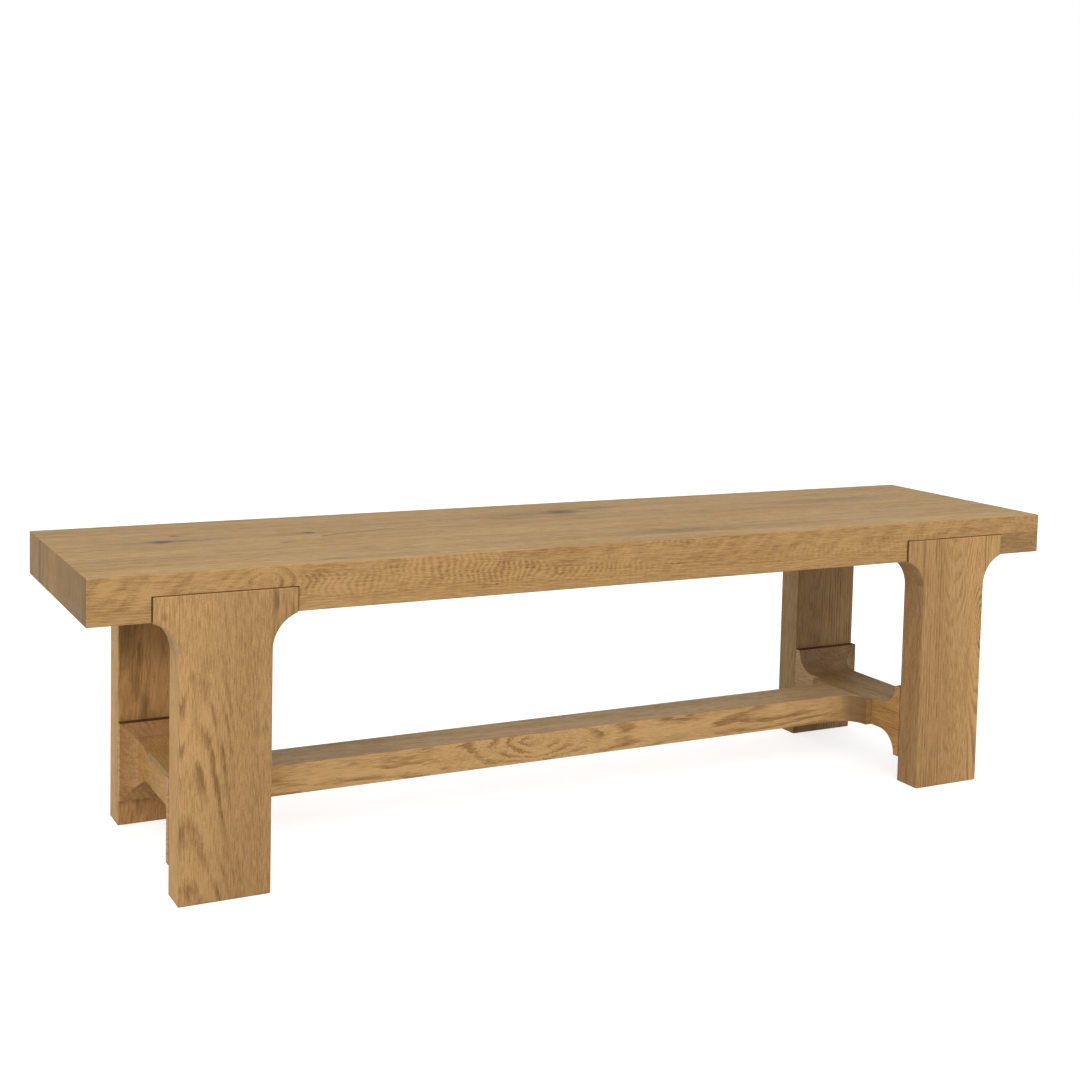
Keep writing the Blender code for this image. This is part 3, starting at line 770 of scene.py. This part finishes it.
def dress_post(leg, seed):
    """The post of a leg, with its figure on the faces along the bench and plainer sides."""
    node = "leg_post_" + leg
    centre, cut = middle_of(node), LEG_CUTS[leg]
    face, side = LEG_COLOURS[leg]
    board = Board(node, "z", centre, cut, seed, face)
    tree = board.tree
    if leg == KNOTTED_LEG:
        knot = board.add_knot("z", LEG_KNOT, seed + LEG_KNOT_SEED, face)
        board.blend(tree.fades(LEG_KNOT_SPAN), knot.outputs["Color"])
    if leg in LEG_BLOTS:
        board.blend(knot_share(tree, LEG_BLOTS[leg], "zx"), linear(BLOT_BROWN))
    # the left rear leg's darker top is painted shade from the seat
    if leg in LEG_RISE_AND_SHADE:
        board.shade(*LEG_RISE_AND_SHADE[leg])
    if leg in LEG_LINES:
        span, lines_cut = LEG_LINES[leg]
        lines = board.add_grain("z", centre, lines_cut, seed, face)
        board.blend(tree.fade(*span), lines.outputs["Color"])
    board.shade(*LEG_DRIFT[leg])
    # the sides; the right legs' darker side colours are painted shade
    side_cut = cut._replace(rings=SIDE_RINGS, streaks=SIDE_STREAKS, bend=SIDE_BEND)
    sides = board.add_grain("z", centre, side_cut, seed, side)
    board.blend(tree.facing("x"), sides.outputs["Color"])
    paint_housing_shade(board)
    dress(node, board.finished())


def dress_head(node, leg, seed):
    """One of the two blocks at the head of a leg."""
    cut = HEAD_CUTS.get(node, HEAD_CUT)
    board = Board(node, "z", middle_of(node), cut, seed, LEG_COLOURS[leg][0])
    board.shade(*LEG_DRIFT[leg])
    if node in HEAD_MARKS:
        board.blend(knot_share(board.tree, [HEAD_MARKS[node]], "zx"), linear(KNOT_DARK))
    paint_housing_shade(board)
    dress(node, board.finished())


def dress_legs():
    seeds = count(FIRST_SEED["legs"])
    for leg in LEG_CUTS:
        dress_post(leg, next(seeds))
        for part in ("inner_head_block_", "outer_head_block_"):
            dress_head(part + leg, leg, next(seeds))


# Cove blocks of the cross stretchers: their cut, and how far the pith tilts in depth
COVE_CUT = Cut((0.03, 0.06), (0.0, 0.5), 0.009, 0.35, 0.9)
COVE_TILTS = {"upper_cove_block": 0.5, "lower_cove_block": 0.3, "side_cove_block": 0.4}
# By cross stretcher: its blocks, its core, and its flanks to the front and to the rear
CROSS_COLOURS = {
    "left": (PAD_GOLD, CROSS_GOLD, {"front": CORE_GOLD, "rear": CORE_GOLD}),
    "right": (PAD_BROWN, CROSS_TAN, {"front": CORE_BRIGHT, "rear": PAD_PALE}),
}
CORE_CUT = Cut((0.03, 0.07), (0.0, 0.03), 0.0018, 0.5, 1.0)
FLANK_STREAKS = 0.5
PALE_FLANK_STREAKS = 0.9
# The right core: how its tone drifts to the rear, where it takes the colour of the blocks there
# on top, and where its flanks do
CORE_DRIFT = ("y", -0.10, 0.10, 1.40, 0.80)
CORE_REAR_TOP = ("y", 0.075, 0.125)
CORE_REAR_FLANK = ("y", 0.05, 0.12)
# How far a chamfer looks up and outwards at the least, and how strongly a grey highlight is
# painted on it
CHAMFER_TURN = 0.5
CHAMFER_HIGHLIGHT_SHARE = 0.5
# How far below its highest point a node's top still counts as level, in metres
TOP_SKIN = 0.0005


def arris_highlight_share(tree):
    """The chamfer of a cross stretcher, which looks both up and outwards, where a grey highlight
    is painted.
    """
    x, _, z = tree.parts(tree.add("ShaderNodeNewGeometry").outputs["True Normal"])
    up = tree.math("GREATER_THAN", z, CHAMFER_TURN)
    out = tree.math("GREATER_THAN", tree.math("ABSOLUTE", x), CHAMFER_TURN)
    return tree.product(up, out, CHAMFER_HIGHLIGHT_SHARE)


def top_share(tree, node):
    """1 on the level top of a node."""
    return tree.math("GREATER_THAN", tree.place("z"), highest(node, "z") - TOP_SKIN)


def dress_cove_block(node, part, end, seed, pad, flanks):
    """A block of a cross stretcher, with painted shade on top where it is a rear upper one."""
    cut = COVE_CUT._replace(tilt=(0.0, COVE_TILTS[part]))
    board = Board(node, "y", middle_of(node), cut, seed, pad)
    flank = board.add_grain("y", middle_of(node), cut, seed, flanks[end])
    board.blend(board.tree.facing("x"), flank.outputs["Color"])
    # painted shade: the level top of a rear upper block is darkened like the shadowed joint with
    # the leg
    if part == "upper_cove_block" and end == "rear":
        board.blend(top_share(board.tree, node), linear(JOINT_SHADE_DARK))
    dress(node, board.finished())


def dress_core(side, seed, tan, flanks):
    """The core of a cross stretcher, of which the right one takes on its rear blocks' look."""
    node = "cross_stretcher_" + side
    centre = middle_of(node)
    board = Board(node, "y", centre, CORE_CUT, seed, tan)
    tree = board.tree
    flank_cut = CORE_CUT._replace(streaks=FLANK_STREAKS)
    flank = board.add_grain("y", centre, flank_cut, seed, flanks["front"]).outputs["Color"]
    if side == "right":
        board.shade(*CORE_DRIFT)
        brown = board.add_grain("y", middle_of("upper_cove_block_right_rear"), COVE_CUT, seed,
                                PAD_BROWN)
        board.blend(tree.fade(*CORE_REAR_TOP), brown.outputs["Color"])
        pale_cut = CORE_CUT._replace(streaks=PALE_FLANK_STREAKS)
        pale = board.add_grain("y", centre, pale_cut, seed, flanks["rear"])
        flank = tree.mix(tree.fade(*CORE_REAR_FLANK), flank, pale.outputs["Color"])
    board.blend(tree.facing("x"), flank)
    # painted highlight: grey on the chamfer
    board.blend(arris_highlight_share(tree), linear(ARRIS_HIGHLIGHT_GREY))
    dress(node, board.finished())


def dress_cross_stretchers():
    seeds = count(FIRST_SEED["cross_stretchers"])
    for side, (pad, tan, flanks) in CROSS_COLOURS.items():
        for end in ("front", "rear"):
            for part in COVE_TILTS:
                node = "_".join((part, side, end))
                dress_cove_block(node, part, end, next(seeds), pad, flanks)
        dress_core(side, next(seeds), tan, flanks)


# The long stretcher and its cheeks: one cut and seed, and how the tone of the top drifts
LONG_CUT = Cut((0.08, 0.03), (0.03, 0.0), 0.0022, 0.40, 1.0)
LONG_SEED = 86.0
LONG_DRIFT = ("x", -0.50, -0.15, 0.80, 1.05)
# The ringed knot on its long sides, its seed, where its rings fade towards both ends, and to what
LONG_KNOT = Knot((-0.091, 0.0, 0.115), 0.36, 0.0105, 0.85)
LONG_KNOT_SEED = 87.3
LONG_KNOT_FADE = (0.48, 0.54)
LONG_KNOT_LEAST = 0.12
# How much painted shade darkens a cheek's cove, by how far it has turned to the bench's ends; the
# lip's length, the blur at its start and how much of the same brown darkens it
COVE_TURN = (0.05, 0.75, 0.0, 0.66)
CHEEK_LIP = 0.012
CHEEK_LIP_BLUR = 0.002
CHEEK_LIP_SHARE = 0.48


def cheek_shade_and_lip_share(tree, off):
    """How dark a cheek is made: painted shade most where it has turned from the long side, and
    half as much of the same brown on its lip.
    """
    cove = tree.stretch(tree.turn("x", "Normal"), *COVE_TURN)
    lip = highest("stretcher_cheek_right_front", "x") - CHEEK_LIP
    return tree.math("MAXIMUM", cove,
                     tree.stretch(off, lip - CHEEK_LIP_BLUR, lip, 0.0, CHEEK_LIP_SHARE))


def dress_long_stretcher():
    centre = middle_of("long_stretcher")
    cheeks = [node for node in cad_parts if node.startswith("stretcher_cheek")]
    for node in cheeks + ["long_stretcher"]:
        board = Board(node, "x", centre, LONG_CUT, LONG_SEED, STRETCHER_TAN)
        tree = board.tree
        board.shade(*LONG_DRIFT)
        knot = board.add_knot("x", LONG_KNOT, LONG_KNOT_SEED, STRETCHER_GOLD)
        off = tree.math("ABSOLUTE", tree.place("x"))
        tree.feed(knot.inputs["Rings"],
                  tree.stretch(off, *LONG_KNOT_FADE, LONG_KNOT.rings, LONG_KNOT_LEAST))
        board.blend(tree.math("SUBTRACT", 1.0, tree.facing("z")), knot.outputs["Color"])
        # painted shade on the cheeks' curved coves, and a darker lip
        board.blend(cheek_shade_and_lip_share(tree, off), linear(COVE_SHADE_BROWN))
        dress(node, board.finished())


def dress_inside():
    inside = ("middle_batten", "seat_bearer_left", "seat_bearer_right")
    for seed, node in enumerate(inside, FIRST_SEED["inside"]):
        dress(node, Board(node, "y", middle_of(node), PLAIN_CUT, seed, BARE_OAK).finished())


# Zinc: its spangle's noise, how dark that gets, and the noise's range with the roughness there
SPANGLE = Noise((900.0, 900.0, 900.0))
SPANGLE_DARK = 0.7
SPANGLE_ROUGHNESS = (0.3, 0.7, 0.28, 0.45)


def zinc(name):
    """Zinc-plated steel with a faint spangle."""
    material = bpy.data.materials.new(name)
    material.use_nodes = True
    tree = Tree(material.node_tree)
    shader = material.node_tree.nodes["Principled BSDF"]
    spangle = tree.noise(tree.spot(), SPANGLE)
    tree.feed(shader.inputs["Base Color"],
              tree.mix(spangle, linear(ZINC), dimmed(ZINC, SPANGLE_DARK)))
    tree.feed(shader.inputs["Roughness"], tree.stretch(spangle, *SPANGLE_ROUGHNESS))
    shader.inputs["Metallic"].default_value = 1.0
    return material


def dress_hardware():
    """Bolts with their washers and inserts, and screws."""
    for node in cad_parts:
        if node.startswith(("seat_bolt", "threaded_insert", "batten_screw")):
            dress(node, zinc(node))


def make_camera():
    data = bpy.data.cameras.new("camera")
    data.lens = CAMERA_LENS
    data.sensor_width = CAMERA_SENSOR
    data.shift_y = CAMERA_SHIFT
    camera = bpy.data.objects.new("camera", data)
    bpy.context.scene.collection.objects.link(camera)
    camera.location = CAMERA_PLACE
    heading = Euler((0.0, 0.0, math.radians(CAMERA_AZIMUTH))).to_matrix()
    pitch = Euler((math.radians(90 - CAMERA_DOWN), 0.0, 0.0)).to_matrix()
    roll = Euler((0.0, 0.0, math.radians(CAMERA_ROLL))).to_matrix()
    camera.rotation_euler = (heading @ pitch @ roll).to_euler()
    bpy.context.scene.camera = camera


def seen_directly(tree):
    """1 for what the camera sees, straight, mirrored or through glass, and 0 for other light."""
    paths = tree.add("ShaderNodeLightPath").outputs
    return tree.chain("MAXIMUM", paths["Is Camera Ray"], paths["Is Glossy Ray"],
                      paths["Is Transmission Ray"])


def make_floor():
    """A pale floor that shows white to the camera where nothing shades it."""
    mesh = bpy.data.meshes.new("floor")
    half = FLOOR_SIZE / 2
    mesh.from_pydata([(-half, -half, 0), (half, -half, 0), (half, half, 0), (-half, half, 0)],
                     [], [(0, 1, 2, 3)])
    floor = bpy.data.objects.new("floor", mesh)
    bpy.context.scene.collection.objects.link(floor)
    material = bpy.data.materials.new("floor")
    material.use_nodes = True
    tree = Tree(material.node_tree)
    material.node_tree.nodes.clear()
    matt = tree.add("ShaderNodeBsdfDiffuse",
                    {"Color": (FLOOR_GREY, FLOOR_GREY, FLOOR_GREY, 1.0)})
    strength = tree.product(seen_directly(tree), FLOOR_GLOW)
    glow = tree.add("ShaderNodeEmission", {"Color": WHITE, "Strength": strength})
    both = tree.add("ShaderNodeAddShader", {0: matt.outputs[0], 1: glow.outputs[0]})
    tree.add("ShaderNodeOutputMaterial", {"Surface": both.outputs[0]})
    mesh.materials.append(material)


def make_world():
    world = bpy.data.worlds.new("studio")
    bpy.context.scene.world = world
    world.use_nodes = True
    tree = Tree(world.node_tree)
    world.node_tree.nodes.clear()
    strength = tree.stretch(seen_directly(tree), 0.0, 1.0, AMBIENT, CAMERA_WHITE, smooth=False)
    light = tree.add("ShaderNodeBackground", {"Color": WHITE, "Strength": strength})
    tree.add("ShaderNodeOutputWorld", {"Surface": light.outputs[0]})


def make_lights():
    for name, (azimuth, height, distance, side, power) in LIGHTS.items():
        data = bpy.data.lights.new(name, "AREA")
        data.shape = "SQUARE"
        data.size = side
        data.energy = power
        light = bpy.data.objects.new(name, data)
        bpy.context.scene.collection.objects.link(light)
        turn, rise = math.radians(azimuth), math.radians(height)
        level = math.cos(rise)
        toward = Vector((math.sin(turn) * level, -math.cos(turn) * level, math.sin(rise)))
        light.location = Vector(AIM) + toward * distance
        light.rotation_euler = (-toward).to_track_quat("-Z", "Y").to_euler()


dress_staves()
dress_rails()
dress_legs()
dress_cross_stretchers()
dress_long_stretcher()
dress_inside()
dress_hardware()
make_floor()
make_world()
make_lights()
make_camera()
bpy.context.scene.view_settings.view_transform = "Standard"
